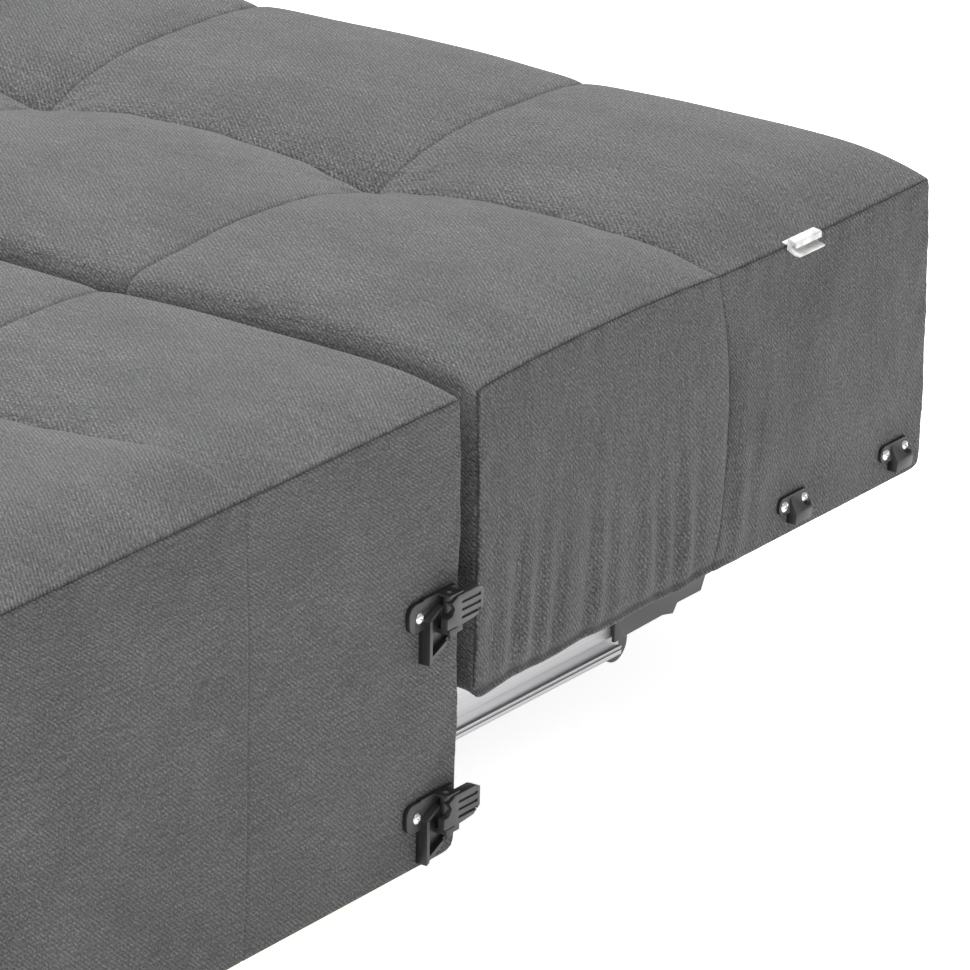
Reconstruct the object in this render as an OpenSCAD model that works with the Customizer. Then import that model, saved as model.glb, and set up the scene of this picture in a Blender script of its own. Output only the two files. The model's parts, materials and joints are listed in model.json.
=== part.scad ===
// Futon sofa bed, lying flat as a bed. The back block rides on two swing arms whose
// carriages run in guide rails under the seat, so it slides back as it swings upright.
// X runs along the sofa, +Y points to the back block, +Z is up. The origin is on the
// floor, at the middle of the outline seen from above.

/* [Overall] */
// Length of the sofa from end face to end face
sofa_l = 1920; // [1600:10:2320]
// Depth of the seat block, front to back
seat_d = 785; // [640:5:945]
// Depth of the back block as it lies flat
back_d = 600; // [560:5:720]
// Height of the middle of the lying surface
top_z = 390; // [380:1:410]
// Height of the back block's underside
back_low_z = 140; // [132:1:146]
// Gap between the seat block and the back block
block_gap = 20; // [18:1:26]
// How far the cushions' edges lie below their middle
edge_drop = 12; // [4:1:20]
// How far in from the edge the cushions reach their full height
crown_inset = 45; // [20:1:90]
// Radius of the blocks' upright corners
corner_r = 14; // [6:1:20]

/* [Frame] */
// Thickness of the frame boards
board_t = 18; // [12:1:24]
// Thickness of the padded covers on the blocks' sides
cover_t = 12; // [8:1:15]
// Height of the seat cushion above its slats
seat_pad_h = 140; // [110:1:145]
// Height of the back cushion above its slats
back_pad_h = 152; // [120:1:165]
// Thickness of a slat
slat_t = 12; // [8:1:15]
// Width of a slat
slat_w = 70; // [50:1:90]
// Number of slats in each block
slat_count = 13; // [8:1:16]
// Thickness of the beams under the slats
beam_t = 40; // [25:1:50]
// Height of the beams under the seat's slats
beam_h = 65; // [45:1:80]
// Where the two inner beams stand, measured from the middle
beam_x = 330; // [200:5:500]
// Width of the wooden runner under each guide rail
runner_w = 80; // [50:1:90]
// Thickness of the panel under the back block
panel_t = 6; // [4:1:8]
// Thickness of the dust cover under the seat
dust_t = 2; // [1:0.5:3]
// Height of a glide
glide_h = 25; // [20:1:32]
// Radius of a glide
glide_r = 25; // [15:1:32]

/* [Guide rails] */
// How far the rails lie inside the end faces
rail_inset = 50; // [45:1:60]
// Height of a rail
rail_h = 44; // [42:1:54]
// Width of a rail
rail_w = 26; // [22:1:32]
// Wall of a rail's flanges and lips
rail_wall = 3; // [2:0.5:4]
// Thickness of a rail's outer web
rail_web = 6; // [5:0.5:8]
// Depth of the groove along a rail's outer face
groove_t = 3; // [1:0.5:3.5]
// Height of a rail's open mouth
mouth_h = 24; // [20:1:28]
// How far a rail reaches behind the seat block
rail_out = 285; // [200:5:330]
// How far a rail reaches under the seat block
rail_in = 500; // [430:5:560]
// How far a rail's end fitting reaches behind the rail
fitting_l = 108; // [80:1:130]
// Radius of the tube that joins the two end fittings
tube_r = 13; // [10:0.5:15]
// Wall of that tube
tube_wall = 2; // [1.5:0.5:3]
// Where the two floor legs stand, measured from the middle
leg_x = 560; // [300:5:700]

/* [Swing mechanism] */
// How far the carriages slide while the back swings upright
slide_travel = 330; // [315:1:345]
// Space left between the upright back and the seat
stand_gap = 18; // [6:0.5:20]
// Height of a swing arm's bar
arm_h = 24; // [18:1:28]
// Thickness of a swing arm
arm_t = 12; // [8:1:14]
// How far the swing arms reach under the back block
arm_reach = 330; // [260:5:340]
// Radius of a pivot pin
pin_r = 8; // [6:0.5:9]
// Space between a running pin and its hole
pin_clear = 0.05; // [0.02:0.01:0.1]
// Space between a sliding shoe and its rail
slide_clear = 0.5; // [0.3:0.1:1]
// Length of a sliding shoe
shoe_l = 90; // [60:1:110]
// Thickness of a carriage plate
plate_t = 4; // [3:0.5:6]
// Distance from a pivot to the tube that ties the carriages together
tie_back = 92; // [90:1:105]
// Radius of the tie tube
tie_r = 10; // [7:0.5:12]
// Space around an arm in the seat's slots
slot_clear = 6; // [5:0.5:10]

/* [Fittings] */
// Height of the upper connectors' middle
upper_conn_z = 214; // [195:1:225]
// Height of the lower connectors' middle
lower_conn_z = 58; // [56:1:70]
// Height of a connector
conn_h = 50; // [44:1:52]
// Thickness of a connector's plate
conn_t = 4; // [3:0.5:5]
// How far a connector stands out from the end face
conn_out = 15; // [14:0.5:18]
// How far a lever's tongue reaches past the seat's rear face
tongue_past = 9; // [6:0.5:14]
// Radius of a connector's hinge pin
conn_pin_r = 2; // [1.5:0.25:2.5]
// Distance from the back block's near face to the first and second hook
hook_at = [416, 557.5];
// Width of a hook plate
hook_w = 39; // [36:1:50]
// Height of a hook
hook_h = 23; // [21:0.5:25]
// Distance between a hook plate's two screws
hook_screws_w = 26; // [22:1:30]
// Radius of a screw's head
screw_head_r = 4.5; // [3.5:0.25:5.5]
// Radius of a screw's shank
screw_r = 2; // [1.5:0.25:2.5]
// Length of the seam clip
clip_l = 34; // [30:1:80]
// Distance from the back block's near face to the seam clip
clip_at = 400; // [100:1:440]

/* [Hidden] */
$fn = 48;
end_x = sofa_l / 2;
total_d = seat_d + block_gap + back_d;
seat_front = -total_d / 2;
seat_rear = seat_front + seat_d;
back_near = seat_rear + block_gap;
back_far = back_near + back_d;
edge_z = top_z - edge_drop;

// Boards
board_x = end_x - cover_t;
inner_x = board_x - board_t;
seat_front_in = seat_front + cover_t;
seat_rear_in = seat_rear - cover_t;
seat_low_z = glide_h;
cover_low_z = seat_low_z + 3;
seat_pad_z = top_z - seat_pad_h;
seat_board_z = seat_pad_z - slat_t;
back_near_in = back_near + cover_t;
back_far_in = back_far - cover_t;
back_board_low = back_low_z + panel_t;
back_pad_z = top_z - back_pad_h;
back_board_z = back_pad_z - slat_t;

// Swing mechanism. The back ends upright on the seat's rear row: its near face stands
// stand_gap above the seat and its underside is flush with the seat's rear face.
pivot_z = (top_z + stand_gap - block_gap + back_low_z - slide_travel) / 2;
pivot_y = seat_rear + (back_low_z - slide_travel - top_z - stand_gap + block_gap) / 2;
rail_low = pivot_z - rail_h / 2;
rail_x = end_x - rail_inset;
rail_face_x = rail_x - rail_w;
rail_start = seat_rear - rail_in;
rail_end = seat_rear + rail_out;
plate_x = rail_face_x - 1;
arm_x = plate_x - plate_t - 1;
arm_mid_x = arm_x - arm_t / 2;
tail_r = arm_h / 2 + 6;
ring_t = 3;
tie_y = pivot_y - tie_back;
plate_h = 2 * tail_r;
runner_x = inner_x - runner_w;
tube_y = rail_end + 18;
tube_z = pivot_z - 23;
fitting_end = rail_end + fitting_l;
fitting_x0 = rail_face_x + 2;
fitting_x1 = rail_x + 3;
leg_foot_h = 14;

// Highest point that the arm's bar reaches at depth y while it swings
function pivot_at(t) = pivot_y + slide_travel * t;
function bar_top(y, t) = pivot_z + (y - pivot_at(t)) * tan(90 * t) + arm_h / 2 / cos(90 * t);
function bar_peak(y) = max([for (t = [0:0.02:0.94]) if (y > pivot_at(t)) bar_top(y, t)]);
board_slot_z = bar_peak(seat_rear_in) + slot_clear;

// Fittings
conn_pin_y = seat_rear - 24;
conn_pin_x = end_x + conn_out - 6;
conn_hub_r = 4.5;
lever_low = -1;
lever_high = 23;
conn_screws = [[-53, 12.5], [-15.5, 10]];
hook_z = back_low_z + 22;
hook_screw_z = hook_z + 4.5;

// Box from its two corners
module span(from, to) {
    translate(from)
        cube(to - from);
}

// Rectangle with round corners, from its two corners
module round_rect(from, to, r) {
    translate([from[0] + r, from[1]])
        square([to[0] - from[0] - 2 * r, to[1] - from[1]]);
    translate([from[0], from[1] + r])
        square([to[0] - from[0], to[1] - from[1] - 2 * r]);
    for (x = [from[0] + r, to[0] - r], y = [from[1] + r, to[1] - r])
        translate([x, y])
            circle(r);
}

// Draws the right-hand piece, mirrored for side -1
module on_side(side) {
    if (side > 0)
        children();
    else
        mirror([1, 0, 0])
            children();
}

// Extrudes a drawing of (Y, Z) along X, from x0 to x1
module profile_x(x0, x1) {
    translate([x0, 0, 0])
        rotate([90, 0, 90])
            linear_extrude(x1 - x0)
                children();
}

// Extrudes a drawing of (X, Z) along Y, from y0 to y1
module profile_y(y0, y1) {
    translate([0, y1, 0])
        rotate([90, 0, 0])
            linear_extrude(y1 - y0)
                children();
}

// Round bar along X
module bar_x(x0, x1, y, z, r) {
    translate([x0, y, z])
        rotate([0, 90, 0])
            cylinder(h = x1 - x0, r = r);
}

// ---- Screws ----

// Holes for the screws of both connectors on the right end face
module connector_holes() {
    for (z = [upper_conn_z, lower_conn_z], s = conn_screws)
        bar_x(inner_x - 1, end_x + conn_t + 1, seat_rear + s[0], z + s[1], screw_r + 0.1);
}

// Holes for the screws of both hook plates on the right end face
module hook_holes() {
    for (at = hook_at, s = [-1, 1])
        bar_x(inner_x - 1, end_x + conn_t + 1, hook_y(at) + s * hook_screws_w / 2,
              hook_screw_z, screw_r + 0.1);
}

function hook_y(at) = back_near + at;

// Countersunk-pan screw along X with its head's underside at x
module screw_x(x, y, z, length) {
    bar_x(x - length, x, y, z, screw_r);
    difference() {
        bar_x(x, x + 2.5, y, z, screw_head_r);
        for (a = [0, 90])
            translate([x + 2, y, z])
                rotate([a, 0, 0])
                    translate([-0.8, -2.6, -0.6])
                        cube([2, 5.2, 1.2]);
    }
}

// ---- Seat block ----

module seat_front_board() {
    color("burlywood")
        span([-inner_x, seat_front_in, seat_low_z],
             [inner_x, seat_front_in + board_t, seat_board_z]);
}

// Slot that the rail and the swinging arm use on the right side
module rail_slot(y0, y1, slot_top) {
    span([rail_face_x - 3, y0, rail_low - 3], [rail_x + 3, y1, rail_low + rail_h + 3]);
    span([arm_x - arm_t - slot_clear, y0, rail_low - 3], [arm_x + 3, y1, slot_top]);
    span([arm_x - arm_t - slot_clear, y0, rail_low - 3],
         [rail_x + 3, y1, rail_low + rail_h + 3]);
}

module seat_rear_board() {
    color("burlywood")
        difference() {
            span([-inner_x, seat_rear_in - board_t, seat_low_z],
                 [inner_x, seat_rear_in, seat_board_z]);
            for (side = [-1, 1])
                on_side(side)
                    rail_slot(seat_rear_in - board_t - 1, seat_rear_in + 1, board_slot_z);
        }
}

module seat_end_board(side) {
    color("burlywood")
        on_side(side)
            difference() {
                span([inner_x, seat_front_in, seat_low_z],
                     [board_x, seat_rear_in, seat_board_z]);
                connector_holes();
            }
}

module seat_beams() {
    color("burlywood")
        for (side = [-1, 1])
            on_side(side)
                span([beam_x - beam_t / 2, seat_front_in + board_t, seat_board_z - beam_h],
                     [beam_x + beam_t / 2, seat_rear_in - board_t, seat_board_z]);
}

module seat_runner(side) {
    color("burlywood")
        on_side(side)
            span([runner_x, seat_front_in + board_t, seat_low_z],
                 [runner_x + runner_w, seat_rear_in - board_t, rail_low]);
}

// Row of slats across a block, between y0 and y1, on boards at height z
module slats(y0, y1, z) {
    pitch = (2 * board_x - slat_w) / (slat_count - 1);
    color("wheat")
        for (i = [0:slat_count - 1])
            translate([-board_x + i * pitch, y0, z])
                cube([slat_w, y1 - y0, slat_t]);
}

module seat_slats() {
    slats(seat_front_in, seat_rear_in, seat_board_z);
}

// Cushion over a block's whole outline, a little higher in its middle
module cushion(y0, y1, low) {
    color("dimgray") {
        translate([0, 0, low])
            linear_extrude(edge_z - low)
                round_rect([-end_x, y0], [end_x, y1], corner_r);
        translate([0, 0, edge_z])
            linear_extrude(edge_drop)
                round_rect([-end_x + crown_inset, y0 + crown_inset],
                           [end_x - crown_inset, y1 - crown_inset], corner_r);
    }
}

module seat_cushion() {
    cushion(seat_front, seat_rear, seat_pad_z);
}

module seat_front_cover() {
    color("dimgray")
        span([-board_x, seat_front, cover_low_z], [board_x, seat_front_in, seat_pad_z]);
}

module seat_rear_cover() {
    color("dimgray")
        difference() {
            span([-board_x, seat_rear_in, cover_low_z], [board_x, seat_rear, seat_pad_z]);
            for (side = [-1, 1])
                on_side(side)
                    rail_slot(seat_rear_in - 1, seat_rear + 1, seat_pad_z + 1);
        }
}

// Padded cover on a block's right end, with round corners
module end_cover(y0, y1, z0, z1) {
    inside = 3 * corner_r;
    translate([0, 0, z0])
        linear_extrude(z1 - z0)
            difference() {
                round_rect([board_x - inside, y0], [end_x, y1], corner_r);
                translate([board_x - inside - 1, y0 - 1])
                    square([inside + 1, y1 - y0 + 2]);
            }
}

module seat_end_cover(side) {
    color("dimgray")
        on_side(side)
            difference() {
                end_cover(seat_front, seat_rear, cover_low_z, seat_pad_z);
                connector_holes();
            }
}

module seat_dust_cover() {
    color("black")
        span([-runner_x, seat_front_in + board_t, seat_low_z],
             [runner_x, seat_rear_in - board_t, seat_low_z + dust_t]);
}

// Six glides under the runners and the middle of the front and rear boards
module seat_glides() {
    glide_in = glide_r + 35;
    color("black") {
        for (side = [-1, 1], y = [seat_front_in + glide_in, seat_rear_in - glide_in])
            translate([side * (runner_x + runner_w / 2), y, 0])
                cylinder(h = glide_h, r = glide_r);
        for (y = [seat_front_in + board_t / 2, seat_rear_in - board_t / 2])
            translate([0, y, 0])
                cylinder(h = glide_h, r = board_t / 2);
    }
}

// ---- Guide rails ----

// Section of the right-hand rail: a channel whose mouth faces the middle of the sofa
module rail_section() {
    cavity_h = rail_h - 2 * rail_wall;
    difference() {
        translate([rail_face_x, -rail_h / 2])
            square([rail_w, rail_h]);
        translate([rail_face_x + rail_wall, -cavity_h / 2])
            square([rail_w - rail_wall - rail_web, cavity_h]);
        translate([rail_face_x - 1, -mouth_h / 2])
            square([rail_wall + 2, mouth_h]);
        translate([rail_x - groove_t, -rail_h * 0.34])
            square([groove_t + 1, rail_h * 0.25]);
        translate([rail_x - 1, -rail_h * 0.42])
            square([2, 1.6]);
    }
}

module guide_rail(side) {
    color("silver")
        on_side(side)
            profile_y(rail_start, rail_end)
                translate([0, pivot_z])
                    rail_section();
}

// Cast fitting on the rail's rear end: its top carries the back block as it lies flat,
// and the lug beneath takes the cross tube
module rail_end(side) {
    top = back_low_z - 1;
    foot = pivot_z - 10;
    step = fitting_l * 0.35;
    lug_in = 14;
    lug_out = 6;
    color("black")
        on_side(side)
            difference() {
                union() {
                    profile_x(fitting_x0, fitting_x1)
                        polygon([[rail_end, foot + 3], [fitting_end - step - 20, foot + 4],
                                 [fitting_end - step - 6, foot + 1],
                                 [fitting_end - step, foot + 8],
                                 [fitting_end - 6, foot + 8], [fitting_end, foot + 19],
                                 [fitting_end, top], [rail_end - 22, top],
                                 [rail_end - 22, pivot_z + rail_h / 2],
                                 [rail_end, pivot_z + rail_h / 2]]);
                    span([rail_x, rail_end - 14, pivot_z - 8], [fitting_x1, rail_end + 1, top]);
                    bar_x(fitting_x0 - lug_in, fitting_x0 + lug_out, tube_y, tube_z, tube_r + 3);
                }
                bar_x(fitting_x0 - lug_in - 1, fitting_x0, tube_y, tube_z, tube_r);
            }
}

module cross_tube() {
    color("black")
        difference() {
            bar_x(-fitting_x0, fitting_x0, tube_y, tube_z, tube_r);
            bar_x(-fitting_x0 - 1, fitting_x0 + 1, tube_y, tube_z, tube_r - tube_wall);
        }
}

// Two short legs under the cross tube, each with a plastic foot
module floor_legs() {
    color("black")
        for (side = [-1, 1])
            translate([side * leg_x, tube_y, 0]) {
                cylinder(h = leg_foot_h, r = tube_r + 4);
                difference() {
                    cylinder(h = tube_z, r = tube_r - 2);
                    bar_x(-tube_r, tube_r, 0, tube_z, tube_r);
                }
            }
}

// ---- Connectors on the seat's end faces ----

// Drawing of a connector's plate in (Y, Z), from the seat's rear face and its own middle
module connector_outline() {
    half = conn_h / 2;
    polygon([[-48, -half], [-8, -half + 17.6], [-8, half], [-48, half]]);
    round_rect([-65, 2], [-40, half - 1], 8);
}

// Slanted wall of a connector's channel, from height z at its front end to depth y
module channel_wall(y, z) {
    rise = (y + 48) * 0.44;
    polygon([[-48, z], [y, z + rise], [y, z + rise + 3.5], [-48, z + 3.5]]);
}

module connector(side, z) {
    half = conn_h / 2;
    ear_y0 = -31;
    color("black")
        on_side(side)
            translate([0, seat_rear, z])
                difference() {
                    union() {
                        profile_x(end_x, end_x + conn_t)
                            connector_outline();
                        profile_x(end_x + conn_t, end_x + conn_t + 6)
                            polygon([[-48, -half], [-44.5, -half + 1.5], [-44.5, 9], [-48, 9.5]]);
                        profile_x(end_x + conn_t, end_x + conn_t + 5) {
                            channel_wall(-14, -half);
                            channel_wall(ear_y0, 6);
                        }
                        for (ear = [[lever_low - 4.5, lever_low - 0.5],
                                    [lever_high + 0.5, half]])
                            span([end_x + conn_t, ear_y0, ear[0]],
                                 [end_x + conn_out, conn_pin_y - seat_rear + 9, ear[1]]);
                    }
                    translate([conn_pin_x, conn_pin_y - seat_rear, -half - 1])
                        cylinder(h = conn_h + 2, r = conn_pin_r);
                    for (s = conn_screws)
                        bar_x(end_x - 1, end_x + conn_t + 1, s[0], s[1], screw_r + 0.1);
                }
}

module connector_pins() {
    color("silver")
        for (side = [-1, 1], z = [upper_conn_z, lower_conn_z])
            translate([side * conn_pin_x, conn_pin_y, z + lever_low - 4.5])
                cylinder(h = conn_h / 2 - lever_low + 4.5, r = conn_pin_r);
}

module connector_screws() {
    color("silver")
        for (side = [-1, 1], z = [upper_conn_z, lower_conn_z], s = conn_screws)
            on_side(side)
                screw_x(end_x + conn_t, seat_rear + s[0], z + s[1], 22);
}

// Sprung lever: a hub on the hinge pin, a ribbed tongue that points rearwards and a
// stepped nose in front of the pin
module lever(side, z) {
    tongue_x0 = end_x + conn_t + 3.5;
    tongue_x1 = end_x + conn_out + 1;
    tip = seat_rear + tongue_past;
    rib = (lever_high - lever_low) / 4;
    color("dimgray")
        on_side(side)
            difference() {
                union() {
                    translate([conn_pin_x, conn_pin_y, z + lever_low + 0.5])
                        cylinder(h = lever_high - lever_low - 1, r = conn_hub_r);
                    translate([0, conn_pin_y, z])
                        profile_x(conn_pin_x + 1, tongue_x1)
                            polygon([[-11, 0], [3, 0], [3, lever_high - 0.5],
                                     [-5, lever_high - 4], [-2, 14], [-5, 9], [-11, 8]]);
                    translate([0, 0, z])
                        profile_x(tongue_x0, tongue_x1)
                            polygon([[conn_pin_y + 2, lever_low], [tip - 8, lever_low + 2],
                                     [tip, lever_low + 7], [tip, lever_high - 2],
                                     [tip - 5, lever_high], [conn_pin_y + 2, lever_high]]);
                }
                translate([conn_pin_x, conn_pin_y, z + lever_low - 1])
                    cylinder(h = lever_high - lever_low + 2, r = conn_pin_r + pin_clear);
                for (i = [1:3])
                    span([tongue_x1 - 1.5, conn_pin_y + conn_hub_r + 2,
                          z + lever_low + i * rib - 1.2],
                         [tongue_x1 + 1, tip - 3, z + lever_low + i * rib + 1.2]);
            }
}

// ---- Carriages ----

module slide_shoe(side) {
    cavity_h = rail_h - 2 * rail_wall;
    x0 = rail_face_x + rail_wall + slide_clear;
    x1 = rail_x - rail_web - slide_clear;
    color("gray")
        on_side(side)
            translate([0, pivot_y, pivot_z]) {
                span([x0, -shoe_l / 2, -cavity_h / 2 + slide_clear],
                     [x1, shoe_l / 2, cavity_h / 2 - slide_clear]);
                span([plate_x, -shoe_l / 2, -mouth_h / 2 + slide_clear],
                     [x0, shoe_l / 2, mouth_h / 2 - slide_clear]);
            }
}

module carriage_plate(side) {
    color("dimgray")
        on_side(side)
            difference() {
                profile_x(plate_x - plate_t, plate_x)
                    round_rect([tie_y - tie_r - 4, pivot_z - plate_h / 2],
                               [pivot_y + shoe_l / 2, pivot_z + plate_h / 2], 6);
                bar_x(plate_x - plate_t - 1, plate_x + 1, pivot_y, pivot_z, pin_r);
                bar_x(plate_x - plate_t - 1, plate_x + 1, tie_y, pivot_z, tie_r);
            }
}

// Pivot pin with its head on the inner side
module pivot_pin(side) {
    head_x = arm_x - arm_t - 1;
    color("silver")
        on_side(side) {
            bar_x(head_x, plate_x, pivot_y, pivot_z, pin_r);
            bar_x(head_x - ring_t, head_x, pivot_y, pivot_z, pin_r + 4);
        }
}

module carriage_tie() {
    color("dimgray")
        difference() {
            bar_x(-plate_x, plate_x, tie_y, pivot_z, tie_r);
            bar_x(-plate_x - 1, plate_x + 1, tie_y, pivot_z, tie_r - tube_wall);
        }
}

// ---- Swing arms ----

function bolt_y(i) = back_near + 50 + i * (arm_reach - 80) / 2;

module swing_arm(side) {
    low = pivot_z - arm_h / 2;
    high = pivot_z + arm_h / 2;
    under = back_low_z - 28;
    color("black")
        on_side(side)
            difference() {
                union() {
                    bar_x(arm_x - arm_t, arm_x, pivot_y, pivot_z, tail_r);
                    profile_x(arm_x - arm_t, arm_x)
                        polygon([[pivot_y, low], [back_near + 20, low],
                                 [back_near + 60, under],
                                 [back_near + arm_reach, under + 8],
                                 [back_near + arm_reach, back_low_z],
                                 [back_near + 5, back_low_z],
                                 [back_near, high], [pivot_y, high]]);
                    for (i = [0:2])
                        span([arm_x - arm_t - 16, bolt_y(i) - 14, back_low_z - 5],
                             [arm_x, bolt_y(i) + 14, back_low_z]);
                }
                bar_x(arm_x - arm_t - 1, arm_x + 1, pivot_y, pivot_z, pin_r + pin_clear);
                for (i = [0:2])
                    translate([arm_x - arm_t - 8, bolt_y(i), back_low_z - 6])
                        cylinder(h = 8, r = 3.2);
            }
}

// Three bolts up through each arm's tabs into the back's frame
module arm_bolts() {
    color("silver")
        for (side = [-1, 1], i = [0:2])
            translate([side * (arm_x - arm_t - 8), bolt_y(i), back_low_z - 5]) {
                cylinder(h = 40, r = 3);
                translate([0, 0, -4])
                    cylinder(h = 4, r = 6);
            }
}

// Holes for those bolts in the right-hand side of the back's frame
module arm_bolt_holes() {
    for (i = [0:2])
        translate([arm_x - arm_t - 8, bolt_y(i), back_low_z - 1])
            cylinder(h = 37, r = 3.1);
}

// ---- Back block ----

module back_near_board() {
    color("burlywood")
        span([-inner_x, back_near_in, back_board_low],
             [inner_x, back_near_in + board_t, back_board_z]);
}

module back_far_board() {
    color("burlywood")
        span([-inner_x, back_far_in - board_t, back_board_low],
             [inner_x, back_far_in, back_board_z]);
}

module back_end_board(side) {
    color("burlywood")
        on_side(side)
            difference() {
                span([inner_x, back_near_in, back_board_low],
                     [board_x, back_far_in, back_board_z]);
                hook_holes();
            }
}

// Two inner beams and two beams over the swing arms
module back_beams() {
    y0 = back_near_in + board_t;
    y1 = back_far_in - board_t;
    color("burlywood")
        for (side = [-1, 1])
            on_side(side) {
                span([beam_x - beam_t / 2, y0, back_board_low],
                     [beam_x + beam_t / 2, y1, back_board_z]);
                difference() {
                    span([arm_mid_x - beam_t / 2 - 4, y0, back_board_low],
                         [arm_mid_x + beam_t / 2 - 4, y1, back_board_z]);
                    arm_bolt_holes();
                }
            }
}

module back_slats() {
    slats(back_near_in, back_far_in, back_board_z);
}

module back_cushion() {
    cushion(back_near, back_far, back_pad_z);
}

module back_underside() {
    color("dimgray")
        difference() {
            span([-board_x, back_near_in, back_low_z],
                 [board_x, back_far_in, back_board_low]);
            for (side = [-1, 1])
                on_side(side)
                    arm_bolt_holes();
        }
}

module back_near_cover() {
    color("dimgray")
        span([-board_x, back_near, back_low_z], [board_x, back_near_in, back_pad_z]);
}

module back_far_cover() {
    color("dimgray")
        span([-board_x, back_far_in, back_low_z], [board_x, back_far, back_pad_z]);
}

module back_end_cover(side) {
    color("dimgray")
        on_side(side)
            difference() {
                end_cover(back_near, back_far, back_low_z, back_pad_z);
                hook_holes();
            }
}

// Plate with two screws and a wedge-shaped nose beside the first screw. The nose is hollow
// and open downwards, and the second screw's head sits in a round recess in it
module hook(side, at) {
    half = hook_h / 2;
    nose_y0 = -5;
    nose_y1 = 17;
    wall = 2;
    color("black")
        on_side(side)
            translate([0, hook_y(at), hook_z])
                difference() {
                    union() {
                        profile_x(end_x, end_x + 3)
                            round_rect([-hook_w / 2, -2.5], [hook_w / 2, half], 6.5);
                        profile_y(nose_y0, nose_y1)
                            polygon([[end_x, half], [end_x + 3, half - 1.5],
                                     [end_x + 9.5, -3], [end_x + 8.5, -half],
                                     [end_x, -half]]);
                    }
                    span([end_x + 1.5, nose_y0 + wall, -half - 1],
                         [end_x + 6.5, nose_y1 - wall, -half + 6]);
                    bar_x(end_x + 3, end_x + 12, hook_screws_w / 2,
                          hook_screw_z - hook_z, screw_head_r + 0.6);
                    for (s = [-1, 1])
                        bar_x(end_x - 1, end_x + 4, s * hook_screws_w / 2,
                              hook_screw_z - hook_z, screw_r + 0.1);
                }
}

module hook_screws() {
    color("silver")
        for (side = [-1, 1], at = hook_at, s = [-1, 1])
            on_side(side)
                screw_x(end_x + 3, hook_y(at) + s * hook_screws_w / 2, hook_screw_z, 20);
}

// Extruded clip on the back cushion's end seam: a small hooded channel with a lip below its
// mouth, and a strip that lies over the cushion's shoulder
module seam_clips() {
    seam_z = 3.5;
    color("white")
        for (side = [-1, 1])
            on_side(side)
                profile_y(back_near + clip_at, back_near + clip_at + clip_l)
                    translate([end_x, edge_z - seam_z]) {
                        polygon([[0, -0.5], [7, -3.8], [12, -4], [12.3, -3.2], [12, -2.2],
                                 [6.8, -1.2], [3, 2.2], [3, 6.4], [7.3, 6], [7.4, 2.5],
                                 [9, 2.5], [9, 7], [8, 8], [1.2, 9], [0, 8]]);
                        translate([-8, seam_z])
                            square([9, 1.5]);
                    }
}

seat_front_board();
seat_rear_board();
seat_end_board(-1);  // seat_end_board_left
seat_end_board(1);  // seat_end_board_right
seat_beams();
seat_runner(-1);  // seat_runner_left
seat_runner(1);  // seat_runner_right
seat_slats();
seat_cushion();
seat_front_cover();
seat_rear_cover();
seat_end_cover(-1);  // seat_end_cover_left
seat_end_cover(1);  // seat_end_cover_right
seat_dust_cover();
seat_glides();
guide_rail(-1);  // guide_rail_left
guide_rail(1);  // guide_rail_right
rail_end(-1);  // rail_end_left
rail_end(1);  // rail_end_right
cross_tube();
floor_legs();
connector(-1, upper_conn_z);  // connector_upper_left
connector(-1, lower_conn_z);  // connector_lower_left
connector(1, upper_conn_z);  // connector_upper_right
connector(1, lower_conn_z);  // connector_lower_right
connector_pins();
connector_screws();
lever(-1, upper_conn_z);  // lever_upper_left
lever(-1, lower_conn_z);  // lever_lower_left
lever(1, upper_conn_z);  // lever_upper_right
lever(1, lower_conn_z);  // lever_lower_right
slide_shoe(-1);  // slide_shoe_left
slide_shoe(1);  // slide_shoe_right
carriage_plate(-1);  // carriage_plate_left
carriage_plate(1);  // carriage_plate_right
pivot_pin(-1);  // pivot_pin_left
pivot_pin(1);  // pivot_pin_right
carriage_tie();
swing_arm(-1);  // swing_arm_left
swing_arm(1);  // swing_arm_right
arm_bolts();
back_near_board();
back_far_board();
back_end_board(-1);  // back_end_board_left
back_end_board(1);  // back_end_board_right
back_beams();
back_slats();
back_cushion();
back_underside();
back_near_cover();
back_far_cover();
back_end_cover(-1);  // back_end_cover_left
back_end_cover(1);  // back_end_cover_right
hook(-1, hook_at[0]);  // hook_first_left
hook(-1, hook_at[1]);  // hook_second_left
hook(1, hook_at[0]);  // hook_first_right
hook(1, hook_at[1]);  // hook_second_right
hook_screws();
seam_clips();
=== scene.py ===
"""Looks of a futon sofa bed: tufted upholstery, moulded fittings, rails and frame."""
import json
import math

import bmesh
import bpy
import numpy as np
from mathutils import Matrix, Vector


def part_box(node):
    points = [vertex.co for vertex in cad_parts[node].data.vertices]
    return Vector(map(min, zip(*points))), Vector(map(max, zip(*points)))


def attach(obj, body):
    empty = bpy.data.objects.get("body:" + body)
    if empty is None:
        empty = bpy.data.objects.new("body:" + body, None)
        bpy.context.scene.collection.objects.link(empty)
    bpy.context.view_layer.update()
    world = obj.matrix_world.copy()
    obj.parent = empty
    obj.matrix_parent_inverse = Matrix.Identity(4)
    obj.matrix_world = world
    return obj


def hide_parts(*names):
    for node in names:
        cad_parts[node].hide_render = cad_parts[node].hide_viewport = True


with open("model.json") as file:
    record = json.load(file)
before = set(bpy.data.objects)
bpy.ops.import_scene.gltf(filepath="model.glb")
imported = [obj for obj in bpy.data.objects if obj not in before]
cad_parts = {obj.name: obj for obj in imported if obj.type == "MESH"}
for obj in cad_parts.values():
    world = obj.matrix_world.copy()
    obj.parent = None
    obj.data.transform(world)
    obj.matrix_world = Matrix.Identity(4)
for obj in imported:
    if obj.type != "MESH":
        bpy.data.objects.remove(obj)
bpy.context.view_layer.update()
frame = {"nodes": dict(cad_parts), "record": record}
nodes = frame["nodes"]
scene = bpy.context.scene

# ---- Places, from the frame, in metres ----

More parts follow.
